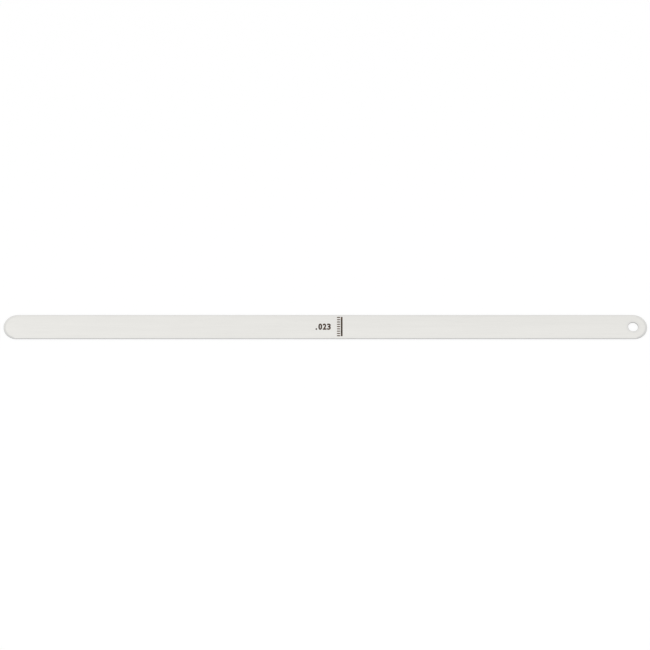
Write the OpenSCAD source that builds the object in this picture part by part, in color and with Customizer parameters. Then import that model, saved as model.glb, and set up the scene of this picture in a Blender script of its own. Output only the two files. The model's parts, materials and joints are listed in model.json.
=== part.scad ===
// Long straight-leaf feeler gauge, in millimetres.
// One strip of hardened and tempered spring steel. It lies flat on its lower face, with its length
// along X. The tip that goes into the gap points to -X, and the heel, with the hole that it hangs
// by, points to +X. The origin is the centre of the footprint, on the lower face.

/* [Leaf] */
// Overall length of the leaf, from the tip to the heel
leaf_length = 304.8; // [80:0.1:610]
// Width of the leaf, from edge to edge
leaf_width = 12.7; // [9:0.1:25.4]
// Thickness of the leaf, which is the gap that it gauges
leaf_thickness = 0.5842; // [0.3:0.0001:1.2]

/* [Dressed edges] */
// Radius that rounds the long edges and both ends, on the upper and the lower face
edge_radius = 0.22; // [0.05:0.01:0.5]

/* [Hanging hole] */
// Diameter of the punched hole
hole_diameter = 4.7625; // [2.5:0.0005:6.5]
// Distance from the end of the heel to the centre of the hole
hole_inset = 6.6; // [5:0.1:20]
// Radius that rounds the rim of the hole, on the upper and the lower face
rim_radius = 0.15; // [0.02:0.01:0.3]

/* [Hidden] */
$fn = 96;

// Share of the thickness that one rounded corner may take, so that a flat is left between two
corner_share = 0.45;
// How far a cutting tool runs past each face
overrun = 1;

end_radius = leaf_width / 2;
edge_round = min(edge_radius, corner_share * leaf_thickness);
rim_round = min(rim_radius, corner_share * leaf_thickness);
hole_x = leaf_length / 2 - hole_inset;

// Half of the leaf's cross-section: from its middle line at 0 to its dressed edge at half_width
module half_section(half_width) {
    square([half_width - edge_round, leaf_thickness]);
    translate([0, edge_round])
        square([half_width, leaf_thickness - 2 * edge_round]);
    for (corner_y = [edge_round, leaf_thickness - edge_round])
        translate([half_width - edge_round, corner_y])
            circle(r = edge_round);
}

// The whole cross-section, both halves
module cross_section(width) {
    for (side = [0, 1])
        mirror([side, 0])
            half_section(width / 2);
}

// The straight run of the strip, between the centres of its two round ends
module straight_run() {
    run = leaf_length - 2 * end_radius;
    translate([-run / 2, 0, 0])
        rotate([90, 0, 90])
            linear_extrude(height = run)
                cross_section(leaf_width);
}

// A full-round end whose dressed edge carries on from that of the straight run
module round_end() {
    translate([leaf_length / 2 - end_radius, 0, 0])
        rotate([0, 0, -90])
            rotate_extrude(angle = 180)
                half_section(end_radius);
}

// What a punch and a deburring stone take out: the bore, and a rounded rim at each face
module hole_tool() {
    hole_radius = hole_diameter / 2;
    translate([0, 0, -overrun])
        cylinder(r = hole_radius, h = leaf_thickness + 2 * overrun);
    for (face = [0, 1])
        translate([0, 0, face * leaf_thickness])
            mirror([0, 0, face])
                rotate_extrude()
                    difference() {
                        square([hole_radius + rim_round, rim_round]);
                        translate([hole_radius + rim_round, rim_round])
                            circle(r = rim_round);
                    }
}

module leaf() {
    color([0.80, 0.79, 0.76])
        difference() {
            union() {
                straight_run();
                for (end = [0, 1])
                    mirror([end, 0, 0])
                        round_end();
            }
            translate([hole_x, 0, 0])
                hole_tool();
        }
}

leaf();
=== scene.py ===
"""Looks of a long straight-leaf feeler gauge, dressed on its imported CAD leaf.

The leaf lies flat along X on its lower face. Its tip points to -X, and its heel, with the hanging
hole, points to +X. The steel finish goes on the CAD leaf itself, and the printed marks are thin
pieces of ink on the upper face. All sizes are in metres, and the patterns of the two finishes are
laid out in millimetres.
"""

import json
import math

import bmesh
import bpy
from bpy.props import FloatProperty, FloatVectorProperty, IntProperty, PointerProperty
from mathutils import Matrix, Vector, geometry


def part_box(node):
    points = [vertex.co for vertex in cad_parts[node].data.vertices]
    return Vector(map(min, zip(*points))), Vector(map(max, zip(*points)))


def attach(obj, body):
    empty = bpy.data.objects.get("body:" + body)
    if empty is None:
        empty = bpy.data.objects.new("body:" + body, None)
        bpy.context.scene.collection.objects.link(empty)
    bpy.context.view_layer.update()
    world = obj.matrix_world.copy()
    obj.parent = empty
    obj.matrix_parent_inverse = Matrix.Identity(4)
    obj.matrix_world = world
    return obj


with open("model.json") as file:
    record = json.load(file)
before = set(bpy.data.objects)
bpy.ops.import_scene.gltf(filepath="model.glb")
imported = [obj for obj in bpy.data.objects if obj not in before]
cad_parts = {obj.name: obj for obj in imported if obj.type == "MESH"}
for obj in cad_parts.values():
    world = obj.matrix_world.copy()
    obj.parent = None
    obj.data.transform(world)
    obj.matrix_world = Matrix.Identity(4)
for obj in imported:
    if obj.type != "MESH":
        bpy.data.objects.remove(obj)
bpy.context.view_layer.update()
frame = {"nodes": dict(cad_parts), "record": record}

bl_info = {
    "name": "Feeler Gauge Looks",
    "version": (1, 0, 0),
    "blender": (4, 5, 0),
    "location": "View3D > Sidebar > Feeler Gauge",
    "description": "Steel finish, printed marks and studio of a straight-leaf feeler gauge",
    "category": "Object",
}

MM = 0.001
INCH = 0.0254

LEAF_LOW, LEAF_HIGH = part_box("leaf")
LEAF_THICKNESS = LEAF_HIGH.z - LEAF_LOW.z
HALF_LENGTH = LEAF_HIGH.x
HALF_WIDTH = LEAF_HIGH.y
HOLE = next(mount for mount in frame["record"]["mounts"] if mount["name"] == "hanging_hole")
HOLE_X = HOLE["pos_m"][0]
HOLE_RADIUS = HOLE["dims"]["r_mm"] * MM

# The ranges that hold most values of a rougher noise and of a smoother one.
ROUGH_NOISE = (0.25, 0.75)
SMOOTH_NOISE = (0.3, 0.7)


# ---------------------------------------------------------------- settings


class SteelFinish(bpy.types.PropertyGroup):
    """Finish of the hardened and tempered spring steel."""

    color: FloatVectorProperty(
        name="Steel color", description="Color of the bright rolled face",
        subtype="COLOR", size=3, min=0.0, max=1.0, default=(0.795, 0.786, 0.757))
    roughness: FloatProperty(
        name="Roughness", description="Roughness of the rolled face",
        subtype="FACTOR", min=0.05, max=1.0, default=0.33)
    grain_pitch: FloatProperty(
        name="Grain pitch", description="Distance between two rolling lines",
        unit="LENGTH", min=0.02 * MM, max=2 * MM, default=0.12 * MM)
    grain_length: FloatProperty(
        name="Grain length", description="Length over which one rolling line fades",
        unit="LENGTH", min=1 * MM, max=200 * MM, default=18 * MM)
    # Dull color of the edges and of the scratches, which also serves as painted shade along the outline,
    # round the ends and round the hole.
    dull_and_shade_color: FloatVectorProperty(
        name="Dressed color", description="Color of the dull dressed band along the edges",
        subtype="COLOR", size=3, min=0.0, max=1.0, default=(0.57, 0.57, 0.565))
    # Partly the duller color of the strip's side, partly painted shade on the side and the rounded
    # edges.
    side_and_shade_color: FloatVectorProperty(
        name="Side color", description="Color of the dull side of the strip, outside and in the hole",
        subtype="COLOR", size=3, min=0.0, max=1.0, default=(0.42, 0.42, 0.415))
    # The band is partly dull dressing on the edge and partly painted shade along the outline and the
    # hole's rim.
    dull_and_shade_width: FloatProperty(
        name="Dressed width", description="Width of the dull band that dressing left round the leaf",
        unit="LENGTH", min=0.05 * MM, max=2 * MM, default=0.3 * MM)
    # A faint darker band beside the outline, wider than the band along the edges.
    faint_band_width: FloatProperty(
        name="Rubbed width", description="Width of the faint band that the stone rubbed next to it",
        unit="LENGTH", min=0.1 * MM, max=5 * MM, default=1.8 * MM)
    faint_band_share: FloatProperty(
        name="Rubbed share", description="Share of the dressed color that shows in the faint band",
        subtype="FACTOR", min=0.0, max=1.0, default=0.12)
    # These bands are painted shade beside the rims of the ends and of the hole, darker on the near side
    # of the ends.
    shade_band_reach: FloatProperty(
        name="Ground reach", description="Half the width of the soft dull bands at ends and hole",
        unit="LENGTH", min=0.1 * MM, max=3 * MM, default=0.6 * MM)
    end_shade_inset: FloatVectorProperty(
        name="Ground inset", description="Distance of the ends' dull band from their rim, near and far",
        unit="LENGTH", size=2, min=0.0, max=3 * MM, default=(0.4 * MM, 0.85 * MM))
    end_shade_share: FloatVectorProperty(
        name="Ground share", description="Share of the dressed color in that band, near and far",
        size=2, min=0.0, max=1.0, default=(0.80, 0.22))
    hole_shade_inset: FloatProperty(
        name="Burr inset", description="Distance of the hole's dull band from its wall",
        unit="LENGTH", min=0.0, max=3 * MM, default=0.65 * MM)
    hole_shade_share: FloatProperty(
        name="Burr share", description="Share of the dressed color in the hole's dull band",
        subtype="FACTOR", min=0.0, max=1.0, default=0.2)
    # Darkens the face slightly towards the far edge, and lightens it a little towards the near edge.
    far_edge_dimming: FloatProperty(
        name="Film share", description="Light that a thin brown film takes away along the far edge",
        subtype="FACTOR", min=0.0, max=0.5, default=0.02)


class PrintedMarks(bpy.types.PropertyGroup):
    """Sizes and ink of the marks on the upper face."""

    ink_color: FloatVectorProperty(
        name="Ink color", description="Color of the ink where it lies thick",
        subtype="COLOR", size=3, min=0.0, max=1.0, default=(0.027, 0.018, 0.012))
    ink_thin_color: FloatVectorProperty(
        name="Thin ink color", description="Color of the ink where it lies thin",
        subtype="COLOR", size=3, min=0.0, max=1.0, default=(0.110, 0.056, 0.026))
    comb_fading: FloatProperty(
        name="Comb fading", description="How much thinner the ink of the comb lies than the rest",
        subtype="FACTOR", min=0.0, max=1.0, default=0.5)
    ink_thickness: FloatProperty(
        name="Ink thickness", description="Height of the ink above the steel",
        unit="LENGTH", min=0.002 * MM, max=0.017 * MM, default=0.012 * MM)
    digit_height: FloatProperty(
        name="Digit height", description="Height of a digit of the size number",
        unit="LENGTH", min=1 * MM, max=8 * MM, default=3.39 * MM)
    digit_width: FloatProperty(
        name="Digit width", description="Width of a digit of the size number, other than 1",
        unit="LENGTH", min=0.5 * MM, max=5 * MM, default=1.84 * MM)
    digit_pitch: FloatProperty(
        name="Digit pitch", description="Distance from one character of the size number to the next",
        unit="LENGTH", min=0.5 * MM, max=6 * MM, default=2.03 * MM)
    point_pitch: FloatProperty(
        name="Point pitch", description="Distance from the point to the first digit after it",
        unit="LENGTH", min=0.5 * MM, max=6 * MM, default=1.87 * MM)
    ink_spread: FloatProperty(
        name="Ink spread", description="How far the ink spreads round each character of the number",
        unit="LENGTH", min=0.01 * MM, max=0.3 * MM, default=0.19 * MM)
    number_x: FloatProperty(
        name="Number place", description="Distance of the number's last character from mid length",
        unit="LENGTH", min=-140 * MM, max=140 * MM, default=1.68 * MM)
    number_y: FloatProperty(
        name="Number offset", description="Distance of the number's middle from the leaf's middle line",
        unit="LENGTH", min=-2 * MM, max=2 * MM, default=0.04 * MM)
    bar_x: FloatProperty(
        name="Bar place", description="Distance of the cross bar from mid length",
        unit="LENGTH", min=-140 * MM, max=140 * MM, default=7.76 * MM)
    bar_y: FloatProperty(
        name="Bar offset", description="Distance of the bar and the comb from the middle line",
        unit="LENGTH", min=-1 * MM, max=1 * MM, default=0.10 * MM)
    bar_width: FloatProperty(
        name="Bar width", description="Width of the cross bar, along the leaf",
        unit="LENGTH", min=0.1 * MM, max=3 * MM, default=0.83 * MM)
    bar_length: FloatProperty(
        name="Bar length", description="Length of the cross bar and of the comb, across the leaf",
        unit="LENGTH", min=1 * MM, max=12 * MM, default=10.36 * MM)
    tick_count: IntProperty(
        name="Ticks", description="Number of short ticks in the comb beside the bar",
        min=2, max=40, default=9)
    tick_width: FloatProperty(
        name="Tick width", description="Width of one tick, across the leaf",
        unit="LENGTH", min=0.05 * MM, max=2 * MM, default=0.56 * MM)
    tick_length: FloatProperty(
        name="Tick length", description="Length of one tick, along the leaf",
        unit="LENGTH", min=0.2 * MM, max=5 * MM, default=1.52 * MM)
    tick_gap: FloatProperty(
        name="Tick gap", description="Bare steel between the comb and the bar",
        unit="LENGTH", min=0.1 * MM, max=3 * MM, default=0.30 * MM)


class StudioSetup(bpy.types.PropertyGroup):
    """Camera, floor and light."""

    elevation: FloatProperty(
        name="Elevation", description="Angle of the camera above the floor",
        subtype="ANGLE", unit="ROTATION", min=0.0, max=math.pi / 2, default=math.radians(62.0))
    lens: FloatProperty(
        name="Lens", description="Focal length of the camera in millimetres",
        min=20, max=400, default=135)
    view_width: FloatProperty(
        name="View width", description="Width that the camera takes in at the leaf",
        unit="LENGTH", min=0.05, max=3, default=308.0 * MM)
    aim_right: FloatProperty(
        name="Aim right", description="Distance of the view's middle from the leaf's, to the right",
        unit="LENGTH", min=-0.2, max=0.2, default=-0.15 * MM)
    aim_up: FloatProperty(
        name="Aim up", description="Distance of the view's middle from the leaf's, upwards in the view",
        unit="LENGTH", min=-0.2, max=0.2, default=0.97 * MM)
    floor_color: FloatVectorProperty(
        name="Floor color", description="Color of the plain floor",
        subtype="COLOR", size=3, min=0.0, max=1.0, default=(0.95, 0.95, 0.95))
    floor_white: FloatProperty(
        name="Floor white", description="Share of plain white that eye and metal see in the floor",
        subtype="FACTOR", min=0.0, max=1.0, default=0.70)
    room_light: FloatProperty(
        name="Room light", description="Strength of the soft light from the horizon",
        min=0.0, max=2.0, default=0.643)
    room_slope: FloatVectorProperty(
        name="Room slope", description="How much the soft light grows towards +X, +Y and straight up",
        subtype="XYZ", size=3, min=-1.0, max=1.0, default=(-0.12, 0.13, 0.37))
    lamp_size: FloatVectorProperty(
        name="Lamp size", description="Width and height of each lamp's soft panel",
        unit="LENGTH", size=2, min=0.05, max=3, default=(2.4, 2.0))
    tip_lamp_place: FloatVectorProperty(
        name="Tip lamp place", description="Place of the lamp at the tip's side",
        subtype="TRANSLATION", unit="LENGTH", size=3, default=(-0.85, -0.55, 1.1))
    tip_lamp_power: FloatProperty(
        name="Tip lamp power", description="Power of the lamp at the tip's side",
        unit="POWER", min=0.0, max=100, default=4.2)
    heel_lamp_place: FloatVectorProperty(
        name="Heel lamp place", description="Place of the lamp at the heel's side",
        subtype="TRANSLATION", unit="LENGTH", size=3, default=(0.85, -0.6, 1.0))
    heel_lamp_power: FloatProperty(
        name="Heel lamp power", description="Power of the lamp at the heel's side",
        unit="POWER", min=0.0, max=100, default=5.0)


# ---------------------------------------------------------------- node helpers


def feed(tree, socket, value):
    """Links a socket, or writes a plain value, into an input socket."""
    if isinstance(value, bpy.types.NodeSocket):
        tree.links.new(value, socket)
    else:
        socket.default_value = value


def calc(tree, operation, *values, clamp=False):
    """Adds a Math node and returns its result."""
    node = tree.nodes.new("ShaderNodeMath")
    node.operation = operation
    node.use_clamp = clamp
    for socket, value in zip(node.inputs, values):
        feed(tree, socket, value)
    return node.outputs["Value"]


def ramp(tree, value, from_low, from_high, to_low=0.0, to_high=1.0, smooth=False):
    """Adds a clamped Map Range node and returns its result."""
    node = tree.nodes.new("ShaderNodeMapRange")
    node.interpolation_type = "SMOOTHSTEP" if smooth else "LINEAR"
    node.clamp = True
    values = (value, from_low, from_high, to_low, to_high)
    for name, given in zip(("Value", "From Min", "From Max", "To Min", "To Max"), values):
        feed(tree, node.inputs[name], given)
    return node.outputs["Result"]


def blend_colors(tree, share, first, second, how="MIX"):
    """Adds a Mix node for colors and returns its result."""
    node = tree.nodes.new("ShaderNodeMix")
    node.data_type = "RGBA"
    node.blend_type = how
    feed(tree, node.inputs["Factor"], share)
    feed(tree, node.inputs["A"], rgba(first))
    feed(tree, node.inputs["B"], rgba(second))
    return node.outputs["Result"]


def rgba(color):
    """A plain color with its alpha, or the socket as it is."""
    if isinstance(color, bpy.types.NodeSocket):
        return color
    return (*color[:3], 1.0)


def stretched(tree, position, scale, turn=0.0):
    """Scales a position, which stretches a pattern along the axes, and then turns it about Z.

    The turn takes the pattern from elsewhere. It doesn't change the way that the pattern runs.
    """
    node = tree.nodes.new("ShaderNodeMapping")
    feed(tree, node.inputs["Vector"], position)
    node.inputs["Rotation"].default_value = (0.0, 0.0, turn)
    node.inputs["Scale"].default_value = scale
    return node.outputs["Vector"]


def noise(tree, position, detail, roughness=0.5):
    """Adds a Noise Texture and returns its value, which lies round one half."""
    node = tree.nodes.new("ShaderNodeTexNoise")
    feed(tree, node.inputs["Vector"], position)
    node.inputs["Scale"].default_value = 1.0
    node.inputs["Detail"].default_value = detail
    node.inputs["Roughness"].default_value = roughness
    return node.outputs["Fac"]


def relief(tree, height, strength, depth):
    """Adds a Bump node, whose heights from 0 to 1 span the depth, and returns its normal."""
    node = tree.nodes.new("ShaderNodeBump")
    node.inputs["Strength"].default_value = strength
    node.inputs["Distance"].default_value = depth
    feed(tree, node.inputs["Height"], height)
    return node.outputs["Normal"]


def new_group(name, inputs, outputs):
    """Makes a shader node group with named sockets. Returns the group and its two end nodes."""
    group = bpy.data.node_groups.new(name, "ShaderNodeTree")
    for label, kind in inputs:
        group.interface.new_socket(label, in_out="INPUT", socket_type=kind)
    for label in outputs:
        group.interface.new_socket(label, in_out="OUTPUT", socket_type="NodeSocketFloat")
    return group, group.nodes.new("NodeGroupInput"), group.nodes.new("NodeGroupOutput")


def use_group(tree, group, **values):
    """Places a node group in a material. Underscores in a value's name stand for spaces."""
    node = tree.nodes.new("ShaderNodeGroup")
    node.node_tree = group
    for name, value in values.items():
        feed(tree, node.inputs[name.replace("_", " ")], value)
    return node.outputs


# ---------------------------------------------------------------- shared effects


def leaf_zones():
    """How far a point lies inside the outline, outside the hole's wall and past the straight sides."""
    group, given, result = new_group(
        "Leaf Zones",
        [("Position", "NodeSocketVector"), ("Half Length", "NodeSocketFloat"),
         ("Half Width", "NodeSocketFloat"), ("Hole X", "NodeSocketFloat"),
         ("Hole Radius", "NodeSocketFloat")],
        ["From Outline", "From Hole", "Into End"])
    split = group.nodes.new("ShaderNodeSeparateXYZ")
    feed(group, split.inputs[0], given.outputs["Position"])
    x, y = split.outputs["X"], split.outputs["Y"]
    y_squared = calc(group, "MULTIPLY", y, y)
    straight = calc(group, "SUBTRACT", given.outputs["Half Length"], given.outputs["Half Width"])
    beyond = calc(group, "MAXIMUM", calc(group, "SUBTRACT", calc(group, "ABSOLUTE", x), straight), 0.0)
    reach = calc(group, "SQRT", calc(group, "MULTIPLY_ADD", beyond, beyond, y_squared))
    from_outline = calc(group, "SUBTRACT", given.outputs["Half Width"], reach)
    along = calc(group, "SUBTRACT", x, given.outputs["Hole X"])
    spread = calc(group, "SQRT", calc(group, "MULTIPLY_ADD", along, along, y_squared))
    from_hole = calc(group, "SUBTRACT", spread, given.outputs["Hole Radius"])
    feed(group, result.inputs["From Outline"], from_outline)
    feed(group, result.inputs["From Hole"], from_hole)
    feed(group, result.inputs["Into End"], beyond)
    return group


def rolled_grain():
    """Fine lines that run along the leaf, and broad bands of them, each round one half."""
    group, given, result = new_group(
        "Rolled Grain",
        [("Position", "NodeSocketVector"), ("Line Pitch", "NodeSocketFloat"),
         ("Line Length", "NodeSocketFloat")],
        ["Lines", "Bands"])
    split = group.nodes.new("ShaderNodeSeparateXYZ")
    feed(group, split.inputs[0], given.outputs["Position"])
    joined = group.nodes.new("ShaderNodeCombineXYZ")
    feed(group, joined.inputs["X"],
         calc(group, "DIVIDE", split.outputs["X"], given.outputs["Line Length"]))
    for axis in ("Y", "Z"):
        feed(group, joined.inputs[axis],
             calc(group, "DIVIDE", split.outputs[axis], given.outputs["Line Pitch"]))
    lines = noise(group, joined.outputs["Vector"], detail=3.0, roughness=0.6)
    feed(group, result.inputs["Lines"], lines)
    # A band is as long as 4 lines, and about 17 lines wide.
    band_scale = (0.25, 0.06, 0.06)
    bands = noise(group, stretched(group, joined.outputs["Vector"], band_scale), detail=2.0)
    feed(group, result.inputs["Bands"], bands)
    return group


def fine_scratches():
    """Sparse hairline scratches that run roughly along the leaf, from 0 to 1."""
    group, given, result = new_group(
        "Fine Scratches",
        [("Position", "NodeSocketVector"), ("Amount", "NodeSocketFloat")],
        ["Scratches"])
    # Three sets: the turn that makes them differ, and their scale along and across the leaf.
    scratch_sets = ((0.06, 0.045, 2.2), (-0.35, 0.09, 2.8), (1.2, 0.11, 3.1))
    patch_scale = (0.05, 0.2, 0.0)
    bare_below, full_above = 0.58, 0.66
    hair_width = 0.012
    position = given.outputs["Position"]
    total = None
    for turn, along, across in scratch_sets:
        waves = noise(group, stretched(group, position, (along, across, 0.0), turn), detail=0.0)
        patches = noise(group, stretched(group, position, patch_scale, turn), detail=1.0)
        # A scratch is where a wave crosses one half, and it shows only in the rarer patches.
        off = calc(group, "ABSOLUTE", calc(group, "SUBTRACT", waves, 0.5))
        hair = ramp(group, off, 0.0, hair_width, 1.0, 0.0)
        shown = calc(group, "MULTIPLY", hair, ramp(group, patches, bare_below, full_above))
        total = shown if total is None else calc(group, "MAXIMUM", total, shown)
    feed(group, result.inputs["Scratches"], calc(group, "MULTIPLY", total, given.outputs["Amount"]))
    return group


def shared_effects():
    """The node groups by name, made once."""
    makers = {"Leaf Zones": leaf_zones, "Rolled Grain": rolled_grain, "Fine Scratches": fine_scratches}
    for name, make in makers.items():
        if name not in bpy.data.node_groups:
            make()
    return {name: bpy.data.node_groups[name] for name in makers}


# ---------------------------------------------------------------- materials


def new_material(name):
    """An empty node material. Returns it with its tree, its shader and the position in millimetres."""
    material = bpy.data.materials.new(name)
    material.use_nodes = True
    tree = material.node_tree
    shader = tree.nodes["Principled BSDF"]
    coordinates = tree.nodes.new("ShaderNodeTexCoord")
    position = stretched(tree, coordinates.outputs["Object"], (1 / MM, 1 / MM, 1 / MM))
    return material, tree, shader, position


def shade_band(tree, distance, inset, reach, share):
    """A soft band of painted shade, strongest where the distance from a rim equals the inset."""
    off = calc(tree, "ABSOLUTE", calc(tree, "SUBTRACT", distance, inset))
    return ramp(tree, off, 0.0, reach, share, 0.0, smooth=True)


def spring_steel(finish):
    """Bright rolled steel with a fine grain along the leaf, dull edges that are partly painted shade,
    and painted shade round the ends and the hole.
    """
    material, tree, shader, position = new_material("spring_steel")
    effects = shared_effects()
    zones = use_group(
        tree, effects["Leaf Zones"], Position=position, Half_Length=HALF_LENGTH / MM,
        Half_Width=HALF_WIDTH / MM, Hole_X=HOLE_X / MM, Hole_Radius=HOLE_RADIUS / MM)
    grain = use_group(
        tree, effects["Rolled Grain"], Position=position,
        Line_Pitch=finish.grain_pitch / MM, Line_Length=finish.grain_length / MM)
    scratches = use_group(tree, effects["Fine Scratches"], Position=position, Amount=1.0)
    cloud_scale = (0.03, 0.12, 0.12)
    clouds = noise(tree, stretched(tree, position, cloud_scale), detail=3.0)

    # The band along the edges is full at the rim. It fades into the face from the outline and the hole.
    # Its dark color is partly dull dressing and partly painted shade along the outline and the hole's
    # rim.
    nearest = calc(tree, "MINIMUM", zones["From Outline"], zones["From Hole"])
    band = finish.dull_and_shade_width / MM
    full_until = 0.2 * band
    dull_and_shade = ramp(tree, nearest, full_until, band, 1.0, 0.0, smooth=True)
    # A fainter, wider darker band runs beside the outline and the hole's rim.
    faint_band = ramp(tree, nearest, 0.0, finish.faint_band_width / MM, finish.faint_band_share, 0.0, smooth=True)
    dull_and_shade = calc(tree, "MAXIMUM", dull_and_shade, faint_band)

    # Painted shade lies in soft bands beside the rims of the round ends, darker on the near side, and
    # round the hole.
    split = tree.nodes.new("ShaderNodeSeparateXYZ")
    feed(tree, split.inputs[0], position)
    y = split.outputs["Y"]
    edge = HALF_WIDTH / MM
    reach = finish.shade_band_reach / MM
    near_inset, far_inset = finish.end_shade_inset
    inset = ramp(tree, y, -edge, edge, near_inset / MM, far_inset / MM)
    share = ramp(tree, y, -edge, edge, *finish.end_shade_share)
    end_fade = 0.3 * edge
    at_end = ramp(tree, zones["Into End"], 0.0, end_fade, smooth=True)
    end_shade = calc(tree, "MULTIPLY", shade_band(tree, zones["From Outline"], inset, reach, share), at_end)
    hole_shade = shade_band(tree, zones["From Hole"], finish.hole_shade_inset / MM, reach, finish.hole_shade_share)
    dull_and_shade = calc(tree, "MAXIMUM", dull_and_shade, calc(tree, "MAXIMUM", end_shade, hole_shade))

    # The strip's side is duller still. Its darker color, which is partly painted shade, comes in over
    # the rounded edges.
    below = calc(tree, "SUBTRACT", LEAF_HIGH.z / MM, split.outputs["Z"])
    above = calc(tree, "SUBTRACT", split.outputs["Z"], LEAF_LOW.z / MM)
    depth = calc(tree, "MINIMUM", below, above)
    side_start = 0.05 * LEAF_THICKNESS / MM
    side_full = 0.28 * LEAF_THICKNESS / MM
    side = ramp(tree, depth, side_start, side_full, smooth=True)

    # Each pattern darkens and lightens the steel between two shares of its color.
    line_tone = (0.955, 1.03)
    band_tone = (0.988, 1.008)
    cloud_tone = (0.992, 1.008)
    # The face grows a little lighter towards the near edge and slightly darker towards the far edge.
    near_edge_gain = 0.25 * finish.far_edge_dimming
    across_tone = (1.0 + near_edge_gain, 1.0 - finish.far_edge_dimming)
    tone = ramp(tree, grain["Lines"], *ROUGH_NOISE, *line_tone)
    tone = calc(tree, "MULTIPLY", tone, ramp(tree, grain["Bands"], *SMOOTH_NOISE, *band_tone))
    tone = calc(tree, "MULTIPLY", tone, ramp(tree, clouds, *SMOOTH_NOISE, *cloud_tone))
    tone = calc(tree, "MULTIPLY", tone, ramp(tree, y, -edge, edge, *across_tone))
    # Mixes in the dull color, which is partly dressing and partly painted shade.
    face = blend_colors(tree, dull_and_shade, finish.color, finish.dull_and_shade_color)
    face = blend_colors(tree, side, face, finish.side_and_shade_color)
    shade = tree.nodes.new("ShaderNodeCombineColor")
    for channel in ("Red", "Green", "Blue"):
        feed(tree, shade.inputs[channel], tone)
    color = blend_colors(tree, 1.0, face, shade.outputs["Color"], how="MULTIPLY")
    scratch_share = 0.25
    scratched = calc(tree, "MULTIPLY", scratches["Scratches"], scratch_share)
    color = blend_colors(tree, scratched, color, finish.dull_and_shade_color)
    feed(tree, shader.inputs["Base Color"], color)

    line_roughness = (finish.roughness - 0.04, finish.roughness + 0.05)
    dressed_roughness = 0.14
    cloud_roughness = 0.06
    rough = ramp(tree, grain["Lines"], *ROUGH_NOISE, *line_roughness)
    rough = calc(tree, "MULTIPLY_ADD", dull_and_shade, dressed_roughness, rough)
    rough = calc(tree, "MULTIPLY_ADD", clouds, cloud_roughness, rough)
    feed(tree, shader.inputs["Roughness"], rough)
    shader.inputs["Metallic"].default_value = 1.0

    scratch_height = -0.6
    height = calc(tree, "MULTIPLY_ADD", scratches["Scratches"], scratch_height, grain["Lines"])
    feed(tree, shader.inputs["Normal"], relief(tree, height, strength=0.6, depth=0.0015 * MM))
    return material


def printed_ink(marks, name, fading):
    """Matt dark ink that lies thick and thin, with the steel's grain under it."""
    material, tree, shader, position = new_material(name)
    effects = shared_effects()
    grain_pitch = 0.12
    grain_length = 3.0
    blotch_scale = (0.55, 0.75, 0.0)
    speck_scale = (9.0, 9.0, 0.0)
    grain = use_group(tree, effects["Rolled Grain"], Position=position,
                      Line_Pitch=grain_pitch, Line_Length=grain_length)
    blotches = noise(tree, stretched(tree, position, blotch_scale, turn=0.4), detail=2.0, roughness=0.55)
    specks = noise(tree, stretched(tree, position, speck_scale), detail=2.0, roughness=0.6)

    # The ink lies thin in blotches, over the higher lines of the grain and in specks.
    blotch_range = (0.44, 0.74)
    line_range = (0.5, 0.8)
    line_share = 0.25
    speck_range = (0.55, 0.75)
    speck_share = 0.3
    thin = ramp(tree, blotches, *blotch_range, fading, 1.0)
    thin = calc(tree, "MULTIPLY_ADD", ramp(tree, grain["Lines"], *line_range), line_share, thin)
    thin = calc(tree, "MULTIPLY_ADD", ramp(tree, specks, *speck_range), speck_share, thin, clamp=True)
    color = blend_colors(tree, thin, marks.ink_color, marks.ink_thin_color)
    feed(tree, shader.inputs["Base Color"], color)

    thick_roughness = 0.62
    thin_roughness = 0.5
    rough = ramp(tree, thin, 0.0, 1.0, thick_roughness, thin_roughness)
    feed(tree, shader.inputs["Roughness"], rough)
    shader.inputs["Specular IOR Level"].default_value = 0.3
    feed(tree, shader.inputs["Normal"], relief(tree, specks, strength=0.5, depth=0.002 * MM))
    return material


def ink_material(marks, name="printed_ink", fading=0.0):
    """An ink by its name, made once."""
    if name in bpy.data.materials:
        return bpy.data.materials[name]
    return printed_ink(marks, name, fading)


def seen_directly(tree):
    """1 for rays of the eye, of reflections and of glass, and 0 for rays that carry light."""
    path = tree.nodes.new("ShaderNodeLightPath")
    bent = calc(tree, "MAXIMUM", path.outputs["Is Glossy Ray"], path.outputs["Is Transmission Ray"])
    return calc(tree, "MAXIMUM", path.outputs["Is Camera Ray"], bent)


def mix_shaders(tree, share, first, second):
    """Adds a Mix Shader and returns its result."""
    node = tree.nodes.new("ShaderNodeMixShader")
    feed(tree, node.inputs[0], share)
    feed(tree, node.inputs[1], first)
    feed(tree, node.inputs[2], second)
    return node.outputs[0]


def white_floor(studio):
    """Pale matt floor that keeps shadows. It can't be seen from below."""
    material, tree, shader, _position = new_material("white_floor")
    shader.inputs["Base Color"].default_value = rgba(studio.floor_color)
    shader.inputs["Roughness"].default_value = 1.0
    shader.inputs["Specular IOR Level"].default_value = 0.0
    white = tree.nodes.new("ShaderNodeEmission")
    share = calc(tree, "MULTIPLY", seen_directly(tree), studio.floor_white)
    floor = mix_shaders(tree, share, shader.outputs[0], white.outputs[0])
    clear = tree.nodes.new("ShaderNodeBsdfTransparent")
    side = tree.nodes.new("ShaderNodeNewGeometry")
    surface = mix_shaders(tree, side.outputs["Backfacing"], floor, clear.outputs[0])
    feed(tree, tree.nodes["Material Output"].inputs["Surface"], surface)
    return material


# ---------------------------------------------------------------- printed pieces


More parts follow.
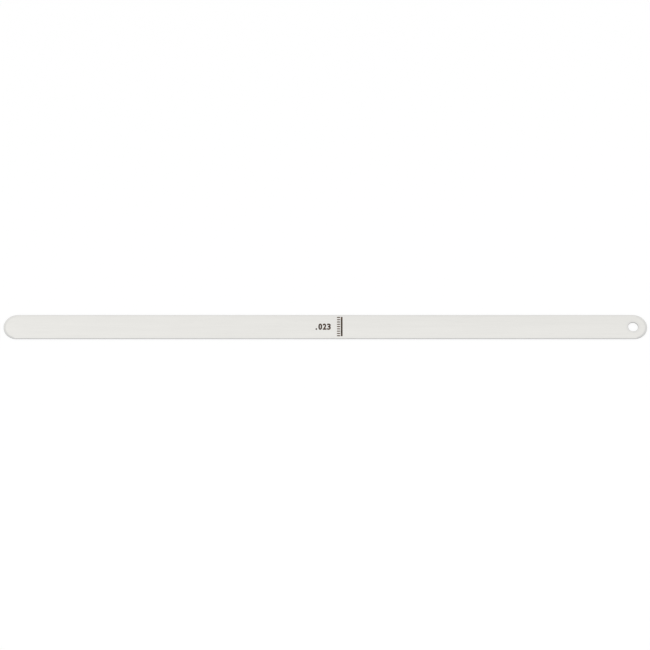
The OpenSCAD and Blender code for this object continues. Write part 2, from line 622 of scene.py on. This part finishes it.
def upper_ink(flat, marks):
    """Gives flat printed faces their thickness. Half of it is sunk in the steel."""
    sunk = LEAF_HIGH.z - marks.ink_thickness
    bmesh.ops.translate(flat, verts=flat.verts, vec=(0.0, 0.0, sunk))
    raised = bmesh.ops.extrude_face_region(flat, geom=flat.faces[:], use_keep_orig=True)
    top = [part for part in raised["geom"] if isinstance(part, bmesh.types.BMVert)]
    bmesh.ops.translate(flat, verts=top, vec=(0.0, 0.0, 2 * marks.ink_thickness))
    bmesh.ops.recalc_face_normals(flat, faces=flat.faces)


def make_piece(name, mesh_data, material):
    """Turns a bmesh into a named piece of ink that rides on the leaf."""
    mesh = bpy.data.meshes.new(name)
    mesh_data.to_mesh(mesh)
    mesh_data.free()
    mesh.materials.append(material)
    piece = bpy.data.objects.new(name, mesh)
    bpy.context.scene.collection.objects.link(piece)
    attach(piece, "root")
    return piece


def add_patch(flat, center, size, corner_radius):
    """Adds one flat rectangle with rounded corners."""
    made = bmesh.ops.create_grid(flat, x_segments=1, y_segments=1, size=0.5)
    bmesh.ops.scale(flat, verts=made["verts"], vec=(*size, 1.0))
    bmesh.ops.translate(flat, verts=made["verts"], vec=(*center, 0.0))
    bmesh.ops.bevel(flat, geom=made["verts"], offset=corner_radius, affect="VERTICES",
                    segments=4, profile=0.5, material=-1)


def outline_distance(point, outline):
    """The distance from a point to the nearest edge of an outline."""
    distances = []
    for first, last in outline:
        share = geometry.intersect_point_line(point, first, last)[1]
        nearest = first.lerp(last, min(max(share, 0.0), 1.0))
        distances.append((point - nearest).length)
    return min(distances)


def spread_outline(flat, distance):
    """Moves the outline of a flat shape outward, and fills it again. The shape faces up."""
    # The summed directions of a corner's two sides are shorter, the sharper it is. These are the
    # least lengths to go by: a right angle for an outer corner, and a very sharp one for a notch.
    least_outer = math.sqrt(2)
    least_notch = 0.1
    slack = 0.03
    outline = [[corner.co.copy() for corner in edge.verts] for edge in flat.edges if edge.is_boundary]
    moves = []
    for vertex in flat.verts:
        for corner in vertex.link_loops:
            if corner.edge.is_boundary:
                ahead = corner.link_loop_next.vert.co - vertex.co
            if corner.link_loop_prev.edge.is_boundary:
                behind = vertex.co - corner.link_loop_prev.vert.co
        ahead.normalize()
        behind.normalize()
        outward = (behind + ahead).cross(Vector((0.0, 0.0, 1.0)))
        # Both sides of a corner move by the distance. A corner sharper than that moves less.
        is_outer = behind.cross(ahead).z > 0.0
        step = 2 * distance / max(outward.length, least_outer if is_outer else least_notch)
        moves.append((vertex, vertex.co + step * outward.normalized(), is_outer))
    bmesh.ops.delete(flat, geom=flat.faces[:], context="FACES_KEEP_BOUNDARY")
    for vertex, place, is_outer in moves:
        vertex.co = place
        # Where the two sides of a notch would cross, the ink closes it. Such a corner lands too
        # near the old outline or too far from it, and is dropped.
        moved = outline_distance(place, outline) / distance
        if moved < 1 - slack or (moved > 1 + slack and not is_outer):
            bmesh.utils.vert_dissolve(vertex)
    bmesh.ops.triangle_fill(flat, edges=flat.edges[:], use_beauty=True)


def flat_character(character):
    """One flat character of the built-in lettering, which is about 1 high."""
    text = bpy.data.curves.new("character", "FONT")
    text.body = character
    holder = bpy.data.objects.new("character", text)
    bpy.context.scene.collection.objects.link(holder)
    graph = bpy.context.evaluated_depsgraph_get()
    mesh = bpy.data.meshes.new_from_object(holder.evaluated_get(graph))
    flat = bmesh.new()
    flat.from_mesh(mesh)
    bpy.data.objects.remove(holder)
    bpy.data.curves.remove(text)
    bpy.data.meshes.remove(mesh)
    # The lettering brings a surface map of its own, which the ink doesn't use, and doubled corners.
    for surface_map in flat.loops.layers.uv.values():
        flat.loops.layers.uv.remove(surface_map)
    doubled_within = 0.001
    bmesh.ops.remove_doubles(flat, verts=flat.verts, dist=doubled_within)
    return flat


def extent(vertices, axis):
    """Middle and size of some vertices along one axis."""
    values = [vertex.co[axis] for vertex in vertices]
    return (min(values) + max(values)) / 2, max(values) - min(values)


def gauge_number():
    """The leaf's thickness in inches to three places, as leaves are marked."""
    return f"{LEAF_THICKNESS / INCH:.3f}".lstrip("0")


# ---------------------------------------------------------------- studio


def light_room(studio):
    """Pale light all round that grows softly towards one side and straight up."""
    world = bpy.data.worlds.new("studio")
    bpy.context.scene.world = world
    world.use_nodes = True
    tree = world.node_tree
    direction = tree.nodes.new("ShaderNodeTexCoord").outputs["Generated"]
    split = tree.nodes.new("ShaderNodeSeparateXYZ")
    feed(tree, split.inputs[0], direction)
    level = studio.room_light
    for axis, growth in zip(("X", "Y"), studio.room_slope):
        level = calc(tree, "MULTIPLY_ADD", split.outputs[axis], growth, level)
    height = calc(tree, "MAXIMUM", split.outputs["Z"], 0.0)
    level = calc(tree, "MULTIPLY_ADD", height, studio.room_slope[2], level)
    light = tree.nodes["Background"]
    light.inputs["Color"].default_value = (1.0, 1.0, 1.0, 1.0)
    feed(tree, light.inputs["Strength"], level)


def lay_floor(studio):
    """A wide plain floor just under the leaf."""
    clearance = 0.01 * MM
    half_side = 4.0
    flat = bmesh.new()
    bmesh.ops.create_grid(flat, x_segments=1, y_segments=1, size=half_side)
    bmesh.ops.translate(flat, verts=flat.verts, vec=(0.0, 0.0, LEAF_LOW.z - clearance))
    mesh = bpy.data.meshes.new("floor")
    flat.to_mesh(mesh)
    flat.free()
    mesh.materials.append(white_floor(studio))
    floor = bpy.data.objects.new("floor", mesh)
    bpy.context.scene.collection.objects.link(floor)


def hang_lamp(name, place, power, size):
    """A soft rectangular lamp that looks at the leaf's middle."""
    data = bpy.data.lights.new(name, "AREA")
    data.shape = "RECTANGLE"
    data.size, data.size_y = size
    data.energy = power
    lamp = bpy.data.objects.new(name, data)
    lamp.location = place
    lamp.rotation_euler = Vector(place).to_track_quat("Z", "Y").to_euler()
    bpy.context.scene.collection.objects.link(lamp)


def aim_camera(studio):
    """Camera in front of the leaf and above it, with the leaf's length across the view."""
    data = bpy.data.cameras.new("camera")
    data.lens = studio.lens
    distance = studio.lens * studio.view_width / data.sensor_width
    back = Vector((0.0, -math.cos(studio.elevation), math.sin(studio.elevation)))
    up = Vector((0.0, math.sin(studio.elevation), math.cos(studio.elevation)))
    middle = (LEAF_LOW + LEAF_HIGH) / 2
    aim = middle + studio.aim_up * up + Vector((studio.aim_right, 0.0, 0.0))
    camera = bpy.data.objects.new("camera", data)
    camera.location = aim + distance * back
    camera.rotation_euler = back.to_track_quat("Z", "Y").to_euler()
    bpy.context.scene.collection.objects.link(camera)
    bpy.context.scene.camera = camera


# ---------------------------------------------------------------- operators


class GAUGE_OT_dress_leaf(bpy.types.Operator):
    """Put the spring steel finish on the leaf"""

    bl_idname = "gauge.dress_leaf"
    bl_label = "Dress Leaf"

    def execute(self, context):
        leaf = frame["nodes"]["leaf"]
        steel = spring_steel(context.scene.gauge_steel)
        for slot in leaf.material_slots:
            slot.material = steel
        if not leaf.material_slots:
            leaf.data.materials.append(steel)
        return {"FINISHED"}


class GAUGE_OT_print_number(bpy.types.Operator):
    """Print the size number on the upper face"""

    bl_idname = "gauge.print_number"
    bl_label = "Print Size Number"

    def execute(self, context):
        marks = context.scene.gauge_marks
        zero = flat_character("0")
        _middle_x, zero_width = extent(zero.verts, 0)
        middle_y, zero_height = extent(zero.verts, 1)
        zero.free()
        bare_width = marks.digit_width - 2 * marks.ink_spread
        tall = (marks.digit_height - 2 * marks.ink_spread) / zero_height
        number = bmesh.new()
        carrier = bpy.data.meshes.new("carrier")
        center_x = marks.number_x
        for character in reversed(gauge_number()):
            flat = flat_character(character)
            middle_x, width = extent(flat.verts, 0)
            # All digits are equally wide. Only the narrow 1 and the point keep the scale of the 0.
            is_narrow = width < zero_width / 2
            wide = bare_width / (zero_width if is_narrow else width)
            bmesh.ops.translate(flat, verts=flat.verts, vec=(-middle_x, -middle_y, 0.0))
            bmesh.ops.scale(flat, verts=flat.verts, vec=(wide, tall, 1.0))
            spread_outline(flat, marks.ink_spread)
            if character == ".":
                center_x += marks.digit_pitch - marks.point_pitch
            bmesh.ops.translate(flat, verts=flat.verts, vec=(center_x, marks.number_y, 0.0))
            center_x -= marks.digit_pitch
            # A bmesh takes in another one only by way of a mesh.
            flat.to_mesh(carrier)
            flat.free()
            number.from_mesh(carrier)
        bpy.data.meshes.remove(carrier)
        upper_ink(number, marks)
        make_piece("size_number", number, ink_material(marks))
        return {"FINISHED"}


class GAUGE_OT_print_bar(bpy.types.Operator):
    """Print the bar that crosses the upper face"""

    bl_idname = "gauge.print_bar"
    bl_label = "Print Cross Bar"

    def execute(self, context):
        marks = context.scene.gauge_marks
        flat = bmesh.new()
        corner_radius = 0.12 * marks.bar_width
        add_patch(flat, (marks.bar_x, marks.bar_y), (marks.bar_width, marks.bar_length), corner_radius)
        upper_ink(flat, marks)
        make_piece("cross_bar", flat, ink_material(marks))
        return {"FINISHED"}


class GAUGE_OT_print_comb(bpy.types.Operator):
    """Print the comb of short ticks beside the bar"""

    bl_idname = "gauge.print_comb"
    bl_label = "Print Tick Comb"

    def execute(self, context):
        marks = context.scene.gauge_marks
        center_x = marks.bar_x - marks.bar_width / 2 - marks.tick_gap - marks.tick_length / 2
        pitch = (marks.bar_length - marks.tick_width) / (marks.tick_count - 1)
        first_y = marks.bar_y - (marks.bar_length - marks.tick_width) / 2
        size = (marks.tick_length, marks.tick_width)
        corner_radius = 0.2 * marks.tick_width
        flat = bmesh.new()
        for tick in range(marks.tick_count):
            add_patch(flat, (center_x, first_y + tick * pitch), size, corner_radius)
        upper_ink(flat, marks)
        make_piece("tick_comb", flat, ink_material(marks, "faded_ink", marks.comb_fading))
        return {"FINISHED"}


class GAUGE_OT_set_stage(bpy.types.Operator):
    """Set up the floor, the light and the camera"""

    bl_idname = "gauge.set_stage"
    bl_label = "Set Stage"

    def execute(self, context):
        studio = context.scene.gauge_studio
        context.scene.view_settings.view_transform = "Standard"
        light_room(studio)
        lay_floor(studio)
        hang_lamp("tip_lamp", studio.tip_lamp_place, studio.tip_lamp_power, studio.lamp_size)
        hang_lamp("heel_lamp", studio.heel_lamp_place, studio.heel_lamp_power, studio.lamp_size)
        aim_camera(studio)
        return {"FINISHED"}


# ---------------------------------------------------------------- panel and running


class GAUGE_PT_looks(bpy.types.Panel):
    """Lists the steps that dress the gauge."""

    bl_idname = "GAUGE_PT_looks"
    bl_label = "Feeler Gauge"
    bl_space_type = "VIEW_3D"
    bl_region_type = "UI"
    bl_category = "Feeler Gauge"

    def draw(self, context):
        for step in STEPS:
            self.layout.operator(step.bl_idname)


STEPS = (GAUGE_OT_dress_leaf, GAUGE_OT_print_number, GAUGE_OT_print_bar, GAUGE_OT_print_comb,
         GAUGE_OT_set_stage)
CLASSES = (SteelFinish, PrintedMarks, StudioSetup, *STEPS, GAUGE_PT_looks)
SETTINGS = {"gauge_steel": SteelFinish, "gauge_marks": PrintedMarks, "gauge_studio": StudioSetup}


def register():
    for kind in CLASSES:
        bpy.utils.register_class(kind)
    for name, kind in SETTINGS.items():
        setattr(bpy.types.Scene, name, PointerProperty(type=kind))


def unregister():
    for name in SETTINGS:
        delattr(bpy.types.Scene, name)
    for kind in reversed(CLASSES):
        bpy.utils.unregister_class(kind)


def main():
    register()
    bpy.ops.gauge.set_stage()
    bpy.ops.gauge.dress_leaf()
    bpy.ops.gauge.print_number()
    bpy.ops.gauge.print_bar()
    bpy.ops.gauge.print_comb()


if __name__ == "__main__":
    main()
